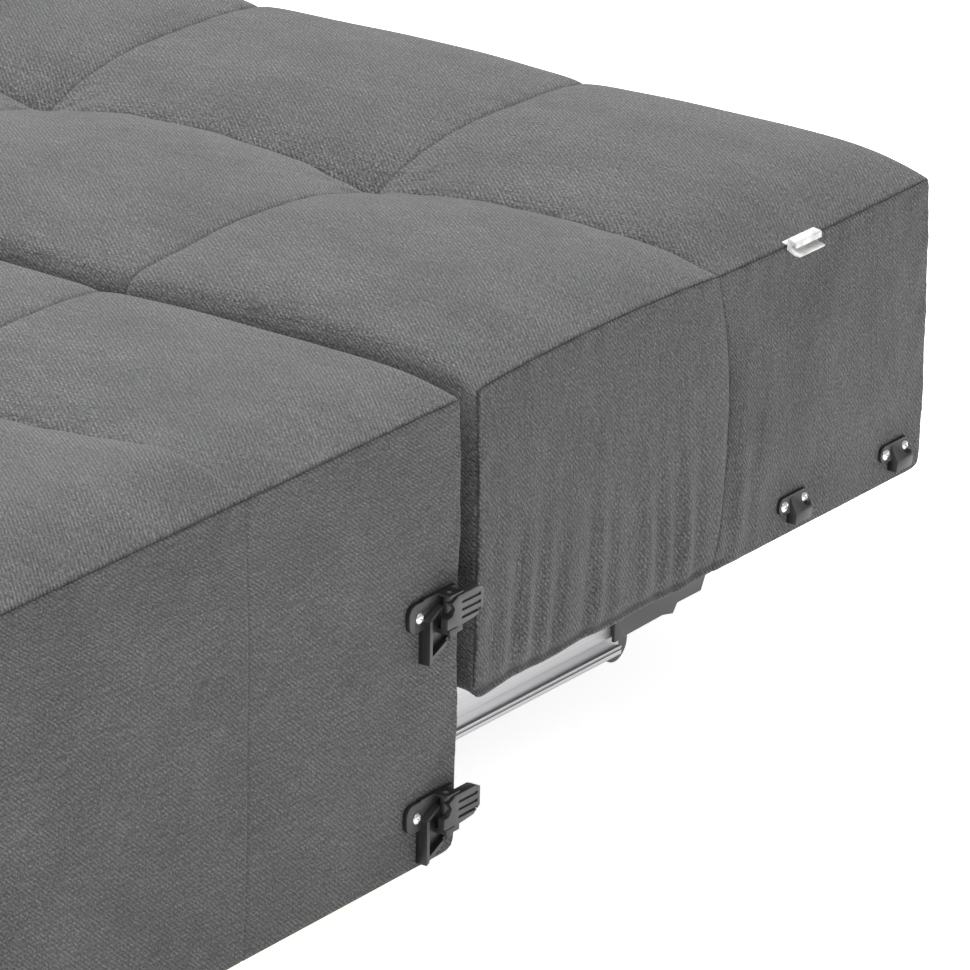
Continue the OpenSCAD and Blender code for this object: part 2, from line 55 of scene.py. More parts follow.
seat_low, seat_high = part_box("seat_cushion")
back_low, back_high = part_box("back_cushion")
END_X = seat_high.x
SEAT_FRONT, SEAT_REAR = seat_low.y, seat_high.y
BACK_NEAR, BACK_FAR = back_low.y, back_high.y
SEAT_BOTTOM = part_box("seat_end_cover_right")[0].z
BACK_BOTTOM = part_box("back_end_cover_right")[0].z
SEAT_PAD, BACK_PAD = seat_low.z, back_low.z
COVER_T = END_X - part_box("seat_end_board_right")[1].x
COLUMNS = 6
PITCH = 2 * END_X / COLUMNS                     # width of one tufted column
CROSS_SEAMS = [-END_X + PITCH * i for i in range(1, COLUMNS)]
SEAT_CHANNEL = SEAT_REAR - 0.2565               # the sewn line along each block
BACK_CHANNEL = BACK_NEAR + 0.310
CLIP_TO_SEAM = 0.0075                           # from the clip's lower lip to its seam
EDGE_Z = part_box("seam_clips")[0].z + CLIP_TO_SEAM

# ---- Sizes of the upholstery, in metres ----

GRID = (0.016, 0.011, 0.013)                    # grid spacing along x, y and z
BESIDE_SEAM = (0.0018, 0.0055, 0.0110)          # closer grid lines beside each seam
ON_LINE = 0.0005                                # how near a grid place is to be on a seam
TOP_ROUND, BOTTOM_ROUND = 0.014, 0.012
LOFT = 0.002                                    # the whole top's rise over its outline
TUFT_DEPTH, TUFT_REACH, TUFT_POWER = 0.0155, 0.057, 1.35
CHANNEL_DEPTH, CHANNEL_REACH = 0.0040, 0.012
CROSS_DEPTH, CROSS_REACH = 0.0022, 0.009
END_SLOPE, END_POWER = 0.10, 2.6                # how the top comes down to the end seams
PAD_REACH = 0.10                                # how far down the walls the top's shape acts
FACE_REACH = 0.005                              # a wall's bulge acts only this near the wall
HEM_RISE = BESIDE_SEAM[1]                       # the hem's height over the lower edge
DROOP, SCALLOP, SCALLOP_PITCH = 0.0040, 0.0009, 0.083
FOLD_LEAN = 0.020                               # how far the end fold bows to the rear
SEAM_SINK = 0.0014
WALE_ANGLE = math.radians(40)                   # slant of the twill across the cloth
WALE_PITCH = 0.0029


# ---- Materials ----

def new_material(name, roughness=0.6, metallic=0.0, colour=(0.5, 0.5, 0.5)):
    """Material with one Principled shader; returns it, its nodes, links and shader."""
    mat = bpy.data.materials.new(name)
    mat.use_nodes = True
    tree = mat.node_tree
    shader = tree.nodes["Principled BSDF"]
    shader.inputs["Roughness"].default_value = roughness
    shader.inputs["Metallic"].default_value = metallic
    shader.inputs["Base Color"].default_value = (*colour, 1)
    return mat, tree.nodes, tree.links, shader


def math_node(tree_nodes, links, operation, a, b=None, c=None):
    """Adds a Math node and returns its output; a, b and c are sockets or numbers."""
    node = tree_nodes.new("ShaderNodeMath")
    node.operation = operation
    for i, value in enumerate((a, b, c)):
        if value is None:
            continue
        if isinstance(value, (int, float)):
            node.inputs[i].default_value = value
        else:
            links.new(value, node.inputs[i])
    return node.outputs[0]


def noise(tree_nodes, links, vector, stretch, detail=3.0, rough=0.55):
    """Noise whose cells have the given size along each axis, in metres."""
    mapping = tree_nodes.new("ShaderNodeMapping")
    mapping.inputs["Scale"].default_value = [1 / s for s in stretch]
    links.new(vector, mapping.inputs["Vector"])
    texture = tree_nodes.new("ShaderNodeTexNoise")
    texture.inputs["Scale"].default_value = 1.0
    texture.inputs["Detail"].default_value = detail
    texture.inputs["Roughness"].default_value = rough
    links.new(mapping.outputs[0], texture.inputs["Vector"])
    return texture.outputs["Fac"]


def ramp(tree_nodes, links, value, stops):
    """Colour ramp through (position, (r, g, b)) stops."""
    node = tree_nodes.new("ShaderNodeValToRGB")
    elements = node.color_ramp.elements
    while len(elements) < len(stops):
        elements.new(0.5)
    for element, (place, colour) in zip(elements, stops):
        element.position = place
        element.color = (*colour, 1)
    links.new(value, node.inputs["Fac"])
    return node.outputs["Color"]


def bump(tree_nodes, links, shader, height, distance, strength=1.0):
    """Feeds a height to the shader's normal."""
    node = tree_nodes.new("ShaderNodeBump")
    node.inputs["Distance"].default_value = distance
    node.inputs["Strength"].default_value = strength
    links.new(height, node.inputs["Height"])
    links.new(node.outputs["Normal"], shader.inputs["Normal"])


def heather_fabric():
    """Heather grey twill: diagonal wales of flecked yarn, painted shade along the seam creases and
    soft sheen.
    """
    mat, n, links, shader = new_material("Heather_Twill", roughness=0.92)
    uv = n.new("ShaderNodeUVMap")
    uv.uv_map = "weave"
    weave = uv.outputs["UV"]
    turned = n.new("ShaderNodeMapping")
    turned.inputs["Rotation"].default_value = (0, 0, WALE_ANGLE)
    links.new(weave, turned.inputs["Vector"])
    wales = turned.outputs["Vector"]
    yarn = noise(n, links, wales, (0.0046, 0.0012, 1), detail=3, rough=0.7)
    flecks = noise(n, links, weave, (0.0021, 0.0016, 1), detail=1, rough=0.5)
    streaks = noise(n, links, weave, (0.022, 0.0018, 1), detail=3, rough=0.6)
    cloud = noise(n, links, weave, (0.11, 0.07, 1), detail=2)
    mixed = math_node(n, links, "MULTIPLY", yarn, 0.38)
    for texture, share in ((flecks, 0.34), (streaks, 0.20), (cloud, 0.08)):
        mixed = math_node(n, links, "MULTIPLY_ADD", texture, share, mixed)
    colour = ramp(n, links, mixed, [
        (0.41, (0.0148, 0.0150, 0.0159)),
        (0.48, (0.0555, 0.0556, 0.0569)),
        (0.53, (0.0960, 0.0960, 0.0974)),
        (0.62, (0.1890, 0.1890, 0.1913)),
    ])
    split = n.new("ShaderNodeSeparateXYZ")
    links.new(wales, split.inputs[0])
    turns = math_node(n, links, "MULTIPLY", split.outputs["Y"], 2 * math.pi / WALE_PITCH)
    wale = math_node(n, links, "MULTIPLY_ADD", math_node(n, links, "SINE", turns), 0.5, 0.5)
    darker = n.new("ShaderNodeMix")
    darker.data_type = "RGBA"
    darker.blend_type = "MULTIPLY"
    links.new(math_node(n, links, "MULTIPLY_ADD", wale, -0.62, 0.62), darker.inputs["Factor"])
    links.new(colour, darker.inputs["A"])
    darker.inputs["B"].default_value = (0.25, 0.25, 0.26, 1)
    # Painted shade: the cloth is mixed towards near-black along the sewn lines, standing in for the
    # shade in the seam creases.
    seam = n.new("ShaderNodeAttribute")
    seam.attribute_name = "seam"
    seam_shaded = n.new("ShaderNodeMix")
    seam_shaded.data_type = "RGBA"
    links.new(math_node(n, links, "MULTIPLY", seam.outputs["Fac"], 0.9), seam_shaded.inputs["Factor"])
    links.new(darker.outputs["Result"], seam_shaded.inputs["A"])
    seam_shaded.inputs["B"].default_value = (0.010, 0.010, 0.011, 1)
    links.new(seam_shaded.outputs["Result"], shader.inputs["Base Color"])
    height = math_node(n, links, "MULTIPLY_ADD", wale, 0.6, yarn)
    height = math_node(n, links, "MULTIPLY_ADD", flecks, 0.4, height)
    bump(n, links, shader, height, 0.0007, 0.85)
    shader.inputs["Sheen Weight"].default_value = 0.2
    shader.inputs["Sheen Roughness"].default_value = 0.6
    shader.inputs["Specular IOR Level"].default_value = 0.2
    return mat


def moulded_plastic(name, colour, roughness, grain=0.0007):
    """Moulded plastic with a fine grain and slightly worn patches."""
    mat, n, links, shader = new_material(name, roughness, colour=colour)
    place = n.new("ShaderNodeTexCoord").outputs["Object"]
    fine = noise(n, links, place, (grain, grain, grain), detail=2)
    patches = noise(n, links, place, (0.012, 0.012, 0.012), detail=3)
    tint = ramp(n, links, patches, [
        (0.35, tuple(c * 0.8 for c in colour)),
        (0.70, tuple(min(1, c * 1.25 + 0.004) for c in colour)),
    ])
    links.new(tint, shader.inputs["Base Color"])
    links.new(math_node(n, links, "MULTIPLY_ADD", patches, 0.22, roughness - 0.11),
              shader.inputs["Roughness"])
    bump(n, links, shader, fine, 0.00012, 0.6)
    return mat


def coated_steel(name, colour):
    """Powder-coated steel with a fine orange peel."""
    mat, n, links, shader = new_material(name, 0.45, colour=colour)
    place = n.new("ShaderNodeTexCoord").outputs["Object"]
    peel = noise(n, links, place, (0.0011, 0.0011, 0.0011), detail=1)
    dust = noise(n, links, place, (0.05, 0.05, 0.05), detail=4)
    tint = ramp(n, links, dust, [
        (0.4, colour),
        (0.8, tuple(c * 1.6 + 0.006 for c in colour)),
    ])
    links.new(tint, shader.inputs["Base Color"])
    links.new(math_node(n, links, "MULTIPLY_ADD", dust, 0.25, 0.33), shader.inputs["Roughness"])
    bump(n, links, shader, peel, 0.00015, 0.5)
    return mat


def extruded_aluminium():
    """Satin aluminium with die lines along the rail."""
    mat, n, links, shader = new_material("Extruded_Aluminium", 0.36, 0.9, (0.44, 0.44, 0.45))
    place = n.new("ShaderNodeTexCoord").outputs["Object"]
    lines = noise(n, links, place, (0.0006, 0.30, 0.0006), detail=3)
    tint = ramp(n, links, lines, [(0.3, (0.38, 0.38, 0.39)), (0.7, (0.50, 0.50, 0.51))])
    links.new(tint, shader.inputs["Base Color"])
    links.new(math_node(n, links, "MULTIPLY_ADD", lines, 0.20, 0.26), shader.inputs["Roughness"])
    bump(n, links, shader, lines, 0.00005, 0.4)
    return mat


def bright_steel():
    """Zinc-plated steel with faint turning marks."""
    mat, n, links, shader = new_material("Bright_Steel", 0.25, 1.0, (0.82, 0.82, 0.83))
    place = n.new("ShaderNodeTexCoord").outputs["Object"]
    marks = noise(n, links, place, (0.0008, 0.0008, 0.0008), detail=3)
    tint = ramp(n, links, marks, [(0.3, (0.70, 0.70, 0.71)), (0.7, (0.88, 0.88, 0.88))])
    links.new(tint, shader.inputs["Base Color"])
    links.new(math_node(n, links, "MULTIPLY_ADD", marks, 0.24, 0.16), shader.inputs["Roughness"])
    bump(n, links, shader, marks, 0.00004, 0.4)
    return mat


def timber(name, dark, light, along):
    """Sawn timber with its grain along the given axis."""
    mat, n, links, shader = new_material(name, 0.68)
    place = n.new("ShaderNodeTexCoord").outputs["Object"]
    size = [0.012, 0.012, 0.012]
    size[along] = 0.30
    fine = [0.0012, 0.0012, 0.0012]
    fine[along] = 0.05
    rings = noise(n, links, place, size, detail=4)
    pores = noise(n, links, place, fine, detail=3)
    mixed = math_node(n, links, "MULTIPLY", rings, 0.65)
    mixed = math_node(n, links, "MULTIPLY_ADD", pores, 0.35, mixed)
    tint = ramp(n, links, mixed, [(0.38, dark), (0.62, light)])
    links.new(tint, shader.inputs["Base Color"])
    bump(n, links, shader, pores, 0.0002, 0.5)
    return mat


def felt_cloth():
    """Thin black non-woven cloth."""
    mat, n, links, shader = new_material("Dust_Cloth", 0.95, colour=(0.02, 0.02, 0.022))
    place = n.new("ShaderNodeTexCoord").outputs["Object"]
    fibres = noise(n, links, place, (0.0015, 0.0015, 0.0015), detail=4)
    tint = ramp(n, links, fibres, [(0.35, (0.010, 0.010, 0.011)), (0.7, (0.042, 0.042, 0.044))])
    links.new(tint, shader.inputs["Base Color"])
    bump(n, links, shader, fibres, 0.0003, 0.7)
    return mat


def floor_finish():
    """Pale, slightly uneven studio floor."""
    mat, n, links, shader = new_material("Studio_Floor", 0.75, colour=(0.93, 0.93, 0.93))
    place = n.new("ShaderNodeTexCoord").outputs["Object"]
    patches = noise(n, links, place, (0.8, 0.8, 0.8), detail=2)
    tint = ramp(n, links, patches, [(0.3, (0.925, 0.925, 0.925)), (0.7, (0.94, 0.94, 0.94))])
    links.new(tint, shader.inputs["Base Color"])
    shader.inputs["Specular IOR Level"].default_value = 0.1
    shader.inputs["Emission Color"].default_value = (1, 1, 1, 1)
    shader.inputs["Emission Strength"].default_value = 0.82
    return mat


FABRIC = heather_fabric()
BLACK_PLASTIC = moulded_plastic("Black_Nylon", (0.016, 0.016, 0.017), 0.42)
GREY_PLASTIC = moulded_plastic("Lever_Nylon", (0.034, 0.034, 0.0355), 0.38)
SHOE_PLASTIC = moulded_plastic("Shoe_Acetal", (0.16, 0.16, 0.17), 0.30)
WHITE_PLASTIC = moulded_plastic("White_Extrusion", (0.64, 0.64, 0.635), 0.30)
BLACK_STEEL = coated_steel("Black_Coated_Steel", (0.018, 0.018, 0.019))
ALUMINIUM = extruded_aluminium()
STEEL = bright_steel()
BOARD_X = timber("Pine_Along_Length", (0.42, 0.27, 0.14), (0.72, 0.54, 0.34), 0)
BOARD_Y = timber("Pine_Along_Depth", (0.42, 0.27, 0.14), (0.72, 0.54, 0.34), 1)
SLAT_WOOD = timber("Birch_Slat", (0.58, 0.43, 0.26), (0.84, 0.69, 0.48), 1)
DUST_CLOTH = felt_cloth()


def paint(obj, material):
    """Gives an object one material."""
    obj.data.materials.clear()
    obj.data.materials.append(material)


# ---- Upholstered blocks ----

def stations(low, high, step, seams, exact=()):
    """Grid positions from low to high, about step apart, with close ones beside each seam."""
    too_close = 0.0012
    fixed = {low, high, *(place for place in exact if low < place < high)}
    for seam in (low, high, *seams):
        for offset in (0, *BESIDE_SEAM):
            for sign in (-1, 1):
                place = seam + sign * offset
                if low < place < high:
                    fixed.add(place)
    fixed = sorted(fixed)
    places = [low]
    for place in fixed[1:]:
        if place - places[-1] < too_close and place < high:
            continue
        count = max(1, round((place - places[-1]) / step))
        start = places[-1]
        places += [start + (place - start) * i / count for i in range(1, count + 1)]
    return np.array(places)


def smooth(t):
    """Smooth step from 0 to 1."""
    t = np.clip(t, 0, 1)
    return t * t * (3 - 2 * t)


def arch(t):
    """Rounded hump, 0 at t = 0 and 1, and 1 half way."""
    return np.sin(math.pi * np.clip(t, 0, 1)) ** 0.7


def wobble(a, b, seed, sizes=(0.31, 0.17, 0.09, 0.055)):
    """Gentle repeatable unevenness between about -1 and 1."""
    total = np.zeros_like(a)
    rng = np.random.default_rng(seed)
    for size in sizes:
        angle, phase = rng.uniform(0, math.pi), rng.uniform(0, 2 * math.pi)
        along = (a * math.cos(angle) + b * math.sin(angle)) * 2 * math.pi / size
        total += np.sin(along + phase + 1.7 * np.sin(b * 11 + seed)) * size
    return total / sum(sizes)


def nearest(values, seams):
    """Distance to the nearest of the seams."""
    return np.min([np.abs(values - s) for s in seams], axis=0)


class Block:
    """Upholstered block: a shell over its frame, open underneath, with a tufted top.

    crowns and seam_rise are pairs, for the near and the far row: how high its cells rise, and
    how far its end seam arches. Towards the ends the channel fades over a length of fade. The
    end faces are loosely gathered as far as gathers from the near side.
    """

    def __init__(self, depth, z0, pad_z, channel, crowns, fittings, seam_rise, fade=0.0,
                 slots=(), gathers=0.0):
        self.y0, self.y1 = depth
        self.z0, self.z1, self.pad_z = z0, seat_high.z, pad_z
        self.channel = channel
        self.crowns = crowns
        self.fittings = [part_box(name) for name in fittings]
        self.seam_rise = seam_rise
        self.fade = fade
        self.slots = slots
        self.gathers = gathers
        self.faces, places, index = [], [], {}
        edges_x = [sign * x for slot in slots for x in slot[:2] for sign in (-1, 1)]
        edges_z = [z for slot in slots for z in slot[2:]]
        axes = (stations(-END_X, END_X, GRID[0], CROSS_SEAMS, edges_x),
                stations(self.y0, self.y1, GRID[1], [channel]),
                stations(self.z0, self.z1, GRID[2], [], edges_z))
        for axis, side in ((2, 1), (0, -1), (0, 1), (1, -1), (1, 1)):
            across, down = [a for a in (0, 1, 2) if a != axis]
            for i in range(len(axes[across]) - 1):
                for j in range(len(axes[down]) - 1):
                    corners = []
                    for di, dj in ((0, 0), (1, 0), (1, 1), (0, 1)):
                        key = [0, 0, 0]
                        key[axis] = 0 if side < 0 else len(axes[axis]) - 1
                        key[across], key[down] = i + di, j + dj
                        corners.append(tuple(key))
                    points = [[axes[a][key[a]] for a in range(3)] for key in corners]
                    if axis == 1 and side > 0 and self.in_slot(np.mean(points, axis=0)):
                        continue
                    quad = []
                    for key, point in zip(corners, points):
                        if key not in index:
                            index[key] = len(places)
                            places.append(point)
                        quad.append(index[key])
                    if (side > 0) == (axis == 1):
                        quad.reverse()
                    self.faces.append((quad, axis, side))
        self.base = np.array(places)

    def in_slot(self, point):
        """Whether a place on the rear wall lies in one of the slots."""
        return any(x0 < abs(point[0]) < x1 and low < point[2] < high
                   for x0, x1, low, high in self.slots)

    def inner_places(self):
        """The inner skin: the same grid, pressed against the frame."""
        inner = self.base.copy()

        def press(value, start, end, limit):
            far = value > start
            value[far] = start + (value[far] - start) * (limit - start) / (end - start)

        x = np.abs(inner[:, 0])
        press(x, END_X - 0.045, END_X, END_X - COVER_T)
        inner[:, 0] = np.sign(inner[:, 0]) * x
        y = inner[:, 1].copy()
        press(y, self.y1 - 0.05, self.y1, self.y1 - COVER_T)
        y = -y
        press(y, -self.y0 - 0.05, -self.y0, -self.y0 - COVER_T)
        inner[:, 1] = -y
        press(inner[:, 2], self.pad_z - 0.004, self.z1, self.pad_z)
        return inner

    def weave(self, quad, axis, side):
        """Where a quad's corners lie on the cloth, in metres."""
        x, y, z = self.base[quad].T
        if axis == 2:
            return np.stack([x, y], 1)
        if axis == 0:
            return np.stack([z + 1.7, y + 3.1] if self.gathers else [y + 3.1, z + 1.7], 1)
        if side > 0:
            return np.stack([x, self.y1 + self.z1 - z], 1)
        return np.stack([x, self.y0 - self.z1 + z], 1)

    def across_row(self, y):
        """How far across its row each place lies, 0 to 1, and whether it is the first row."""
        first = y < self.channel
        low = np.where(first, self.y0, self.channel)
        high = np.where(first, self.channel, self.y1)
        return (y - low) / (high - low), first

    def sewn(self, x):
        """How far the channel is sewn down: 1, or fading to 0 at the ends."""
        return smooth((END_X - np.abs(x) - 0.02) / self.fade) if self.fade else np.ones_like(x)

    def round_edges(self, p):
        """Rounds the long edges of the block, less so at its two ends."""
        x, y, z = self.base.T
        sharp = 0.35 + 0.65 * smooth((END_X - np.abs(x)) / 0.08)
        for sign, edge in ((-1, self.y0), (1, self.y1)):
            for top, level, radius in ((1, self.z1, TOP_ROUND * sharp),
                                       (-1, self.z0, BOTTOM_ROUND)):
                dy = sign * (y - edge) + radius
                dz = top * (z - level) + radius
                corner = (dy > 0) & (dz > 0)
                scale = np.maximum(dy, dz) / np.maximum(np.hypot(dy, dz), 1e-9)
                p[:, 1] = np.where(corner, edge + sign * (dy * scale - radius), p[:, 1])
                p[:, 2] = np.where(corner, level + top * (dz * scale - radius), p[:, 2])

    def clear_of_fittings(self, y, z):
        """0 where a fitting presses on the end face, rising to 1 some way from it."""
        free = np.ones_like(y)
        for low, high in self.fittings:
            dy = np.maximum(np.maximum(low.y - y, y - high.y), 0)
            dz = np.maximum(np.maximum(low.z - z, z - high.z), 0)
            free = np.minimum(free, smooth((np.hypot(dy, dz) + 0.004) / 0.060))
        return free

    def puffed(self):
        """The outer skin: crowned cells, channels, tufts and bulging sides."""
        p = self.base.copy()
        x, y, z = self.base.T
        self.round_edges(p)
        across, first = self.across_row(y)
        column = np.mod((x + END_X) / PITCH, 1.0)
        to_cross, to_channel = nearest(x, CROSS_SEAMS), np.abs(y - self.channel)
        to_tuft = np.hypot(to_cross, to_channel)
        from_end = END_X - np.abs(x)
        sewn, column_arch = self.sewn(x), arch(column)
        whole_arch = arch((y - self.y0) / (self.y1 - self.y0))
        row_arch = sewn * arch(across) + (1 - sewn) * whole_arch

        crown = np.where(first, *self.crowns) - LOFT
        lift = LOFT + crown * (0.60 * row_arch + 0.20 * column_arch
                               + 0.20 * row_arch * column_arch)
        lift -= CHANNEL_DEPTH * sewn * np.exp(-to_channel / CHANNEL_REACH)
        lift -= CROSS_DEPTH * np.exp(-to_cross / CROSS_REACH)
        lift -= TUFT_DEPTH * np.exp(-(to_tuft / TUFT_REACH) ** TUFT_POWER)
        lift += 0.0010 * wobble(x, y, 3)
        at_end = (1 - np.clip(from_end / END_SLOPE, 0, 1)) ** END_POWER
        seam_level = EDGE_Z - self.z1 + np.where(first, *self.seam_rise) * row_arch
        lift = lift * (1 - at_end) + seam_level * at_end
        p[:, 2] += lift * smooth((z - self.z1 + PAD_REACH) / PAD_REACH)

        height = (z - self.z0) / (self.z1 - self.z0)
        side_arch = arch(height) * (1.25 - 0.5 * height)
        bulge = 0.0050 * side_arch * (0.35 + 0.65 * row_arch)
        bulge += 0.0012 * wobble(y, z, 5) * arch(height)
        bulge -= 0.0030 * sewn * np.exp(-to_channel / 0.010) * arch(height)
        bulge *= self.clear_of_fittings(y, z)
        p[:, 0] += np.sign(x) * bulge * np.exp(-from_end / FACE_REACH)
        bulge = 0.0020 * side_arch * (0.4 + 0.6 * column_arch)
        bulge += 0.0010 * wobble(x, z, 7) * arch(height)
        bulge -= 0.0020 * np.exp(-to_cross / 0.010) * arch(height)
        from_side = np.minimum(y - self.y0, self.y1 - y)
        outward = np.where(2 * y < self.y0 + self.y1, -1, 1)
        p[:, 1] += outward * bulge * np.exp(-from_side / FACE_REACH)
        if self.gathers:
            droop = DROOP * np.exp(-(y - self.y0) / 0.045)
            droop += SCALLOP * np.sin((y - self.y0) * 2 * math.pi / SCALLOP_PITCH + 0.6)
            loose = 1 - smooth((y - self.y0 - self.gathers + 0.04) / 0.05)
            low = 1 - smooth((z - self.z0) / 0.035)
            p[:, 2] -= droop * loose * low * np.exp(-from_end / 0.004)
            lean = FOLD_LEAN * np.sin(math.pi * height) * np.exp(-to_channel / 0.05)
            p[:, 1] += lean * np.exp(-from_end / 0.004)
        return p

    def seam_marks(self):
        """How close each vertex is to a sewn line, 0 to 1: how deep the seam sinks and how much
        painted shade its crease gets.
        """
        x, y, z = self.base.T
        end = END_X - np.abs(x) < ON_LINE
        marks = np.zeros(len(x))
        marks[nearest(x, CROSS_SEAMS) < ON_LINE] = 0.55
        on_channel = np.abs(y - self.channel) < ON_LINE
        marks[on_channel] = 0.5 * self.sewn(x[on_channel])
        marks[end & on_channel] = 0.32 if self.fade else 0.40
        from_rim = np.minimum(self.z1 - z, np.minimum(y - self.y0, self.y1 - y))
        marks[end & (from_rim < ON_LINE)] = 1
        if self.gathers:
            hem = np.abs(z - self.z0 - HEM_RISE) < ON_LINE
            marks[end & hem & (y < self.y0 + self.gathers)] = 0.9
        return marks

    def detail(self, obj):
        """Finer relief on the smoothed shell: sunk seams, puckers, tuft rays and gathers."""
        mesh = obj.data
        count = len(mesh.vertices)
        p = np.empty(count * 3)
        mesh.vertices.foreach_get("co", p)
        p = p.reshape(-1, 3)
        normals = np.empty(count * 3)
        mesh.vertex_normals.foreach_get("vector", normals)
        normals = normals.reshape(-1, 3)
        outer, seam = np.empty(count), np.empty(count)
        mesh.attributes["outer"].data.foreach_get("value", outer)
        mesh.attributes["seam"].data.foreach_get("value", seam)
        x, y, z = p.T
        top = smooth((normals[:, 2] - 0.3) / 0.5)
        end = smooth((np.abs(normals[:, 0]) - 0.6) / 0.3)
        to_cross, to_channel = nearest(x, CROSS_SEAMS), np.abs(y - self.channel)
        height = -SEAM_SINK * seam
        height += top * 0.0007 * np.exp(-to_cross / 0.020) * wobble(x, y, 11, (0.05, 0.03))
        height += top * 0.0008 * np.exp(-to_channel / 0.022) * wobble(x, y, 12, (0.06, 0.035))
        along = np.mod(x + END_X, PITCH)
        side = np.minimum(along, PITCH - along)
        angle = np.arctan2(y - self.channel, side)
        ring = np.exp(-((np.hypot(side, to_channel) - 0.032) / 0.020) ** 2)
        inside = np.abs(x) < END_X - PITCH / 2
        height += top * inside * 0.0010 * ring * np.sin(9 * angle + 31 * np.round(x / PITCH))
        from_rim = np.minimum(self.z1 - z, np.minimum(y - self.y0, self.y1 - y))
        pucker = 0.0007 * np.exp(-np.maximum(from_rim, 0) / 0.020)
        height += end * pucker * wobble(y, z, 9, (0.03, 0.02))
        if self.gathers:
            slant = y + 0.05 * (z - self.z0) * np.sin(y * 23)
            folds = (np.sin(slant * 2 * math.pi / 0.031 + 0.8 * np.sin(y * 37))
                     + 0.7 * np.sin(slant * 2 * math.pi / 0.0235 + 1.9)
                     + 0.5 * np.sin(slant * 2 * math.pi / 0.052 + 0.4))
            loose = 1 - smooth((y - self.y0 - self.gathers + 0.02) / 0.09)
            low = smooth((self.z0 + 0.17 - z) / 0.15) ** 1.3
            low *= 0.25 + 0.75 * smooth((z - self.z0) / 0.03)
            folds *= 0.0013 * (loose * low + 0.08)
            height += end * self.clear_of_fittings(y, z) * folds
        p += normals * (height * outer)[:, None]
        mesh.vertices.foreach_set("co", p.ravel())
        mesh.update()

    def upholstery(self, name):
        """The block's finished shell."""
        count = len(self.base)
        faces, weave, sides = [], [], {}
        for quad, axis, side in self.faces:
            cloth = self.weave(quad, axis, side)
            faces += [quad, [v + count for v in reversed(quad)]]
            weave += [cloth, cloth[::-1]]
            for a, b in zip(quad, quad[1:] + quad[:1]):
                edge = frozenset((a, b))
                sides[edge] = None if edge in sides else (a, b)
        for a, b in filter(None, sides.values()):
            faces.append([b, a, a + count, b + count])
            x, y, z = self.base[[b, a, a, b]].T
            weave.append(np.stack([x + y, z], 1))
        mesh = bpy.data.meshes.new(name)
        mesh.from_pydata(np.concatenate([self.puffed(), self.inner_places()]).tolist(), [], faces)
        layer = mesh.uv_layers.new(name="weave")
        layer.data.foreach_set("uv", np.concatenate(weave).astype(np.float32).ravel())
        for label, values in (("seam", self.seam_marks()), ("outer", np.ones(count))):
            attribute = mesh.attributes.new(label, "FLOAT", "POINT")
            both = np.concatenate([values, np.zeros(count)]).astype(np.float32)
            attribute.data.foreach_set("value", both)
        mesh.update()
        obj = bpy.data.objects.new(name, mesh)
        scene.collection.objects.link(obj)
        paint(obj, FABRIC)
        modifier = obj.modifiers.new("smooth", "SUBSURF")
        modifier.levels = modifier.render_levels = 1
        modifier.boundary_smooth = "PRESERVE_CORNERS"
        flatten(obj)
        obj.data.polygons.foreach_set("use_smooth", np.ones(len(obj.data.polygons), bool))
        self.detail(obj)
        return obj


def flatten(obj):
    """Turns an object's modifiers into plain mesh."""
    depsgraph = bpy.context.evaluated_depsgraph_get()
    mesh = bpy.data.meshes.new_from_object(obj.evaluated_get(depsgraph),
                                           preserve_all_data_layers=True, depsgraph=depsgraph)
    obj.modifiers.clear()
    old = obj.data
    obj.data = mesh
    bpy.data.meshes.remove(old)
    return obj


rail_low, rail_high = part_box("guide_rail_right")
arm_low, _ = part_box("swing_arm_right")
SLOT_Z = SEAT_BOTTOM + 0.034
arm_slot = (arm_low.x - 0.008, rail_low.x, SLOT_Z, SEAT_PAD - 0.001)
rail_slot = (rail_low.x, rail_high.x + 0.003, SLOT_Z, rail_high.z + 0.003)
seat = Block((SEAT_FRONT, SEAT_REAR), SEAT_BOTTOM, SEAT_PAD, SEAT_CHANNEL, (0.018, 0.0140),
             ("connector_upper_right", "connector_lower_right"), (0.0, 0.0), fade=0.16,
             slots=(arm_slot, rail_slot)).upholstery("seat_upholstery")
back = Block((BACK_NEAR, BACK_FAR), BACK_BOTTOM, BACK_PAD, BACK_CHANNEL, (0.018, 0.018),
             ("hook_first_right", "hook_second_right", "seam_clips"), (0.0055, -0.0015),
             gathers=0.33).upholstery("back_upholstery")


# ---- CAD nodes with better finishes ----

def finish_for(name):
    """The material of a CAD node that is shown as it is."""
    if name.startswith("guide_rail"):
        return ALUMINIUM
    if name.startswith(("rail_end", "connector_upper", "connector_lower", "hook_first",
                        "hook_second")) or name == "seat_glides":
        return BLACK_PLASTIC
    if name.startswith("lever_"):
        return GREY_PLASTIC
    if name.startswith("slide_shoe"):
        return SHOE_PLASTIC
    if name == "seam_clips":
        return WHITE_PLASTIC
    if name.startswith(("swing_arm", "carriage")) or name in ("cross_tube", "floor_legs"):
        return BLACK_STEEL
    if "slats" in name:
        return SLAT_WOOD
    if name in ("seat_front_board", "seat_rear_board", "back_near_board", "back_far_board"):
        return BOARD_X
    if "board" in name or "runner" in name or "beams" in name:
        return BOARD_Y
    if name in ("seat_dust_cover", "back_underside"):
        return DUST_CLOTH
    return STEEL


SAME_VERTEX = 0.00002                           # corners nearer than this are one


def crisp(obj):
    """Smooth shading with sharp edges where the form turns a corner."""
    obj.data.shade_smooth()
    obj.data.set_sharp_from_angle(angle=math.radians(40))


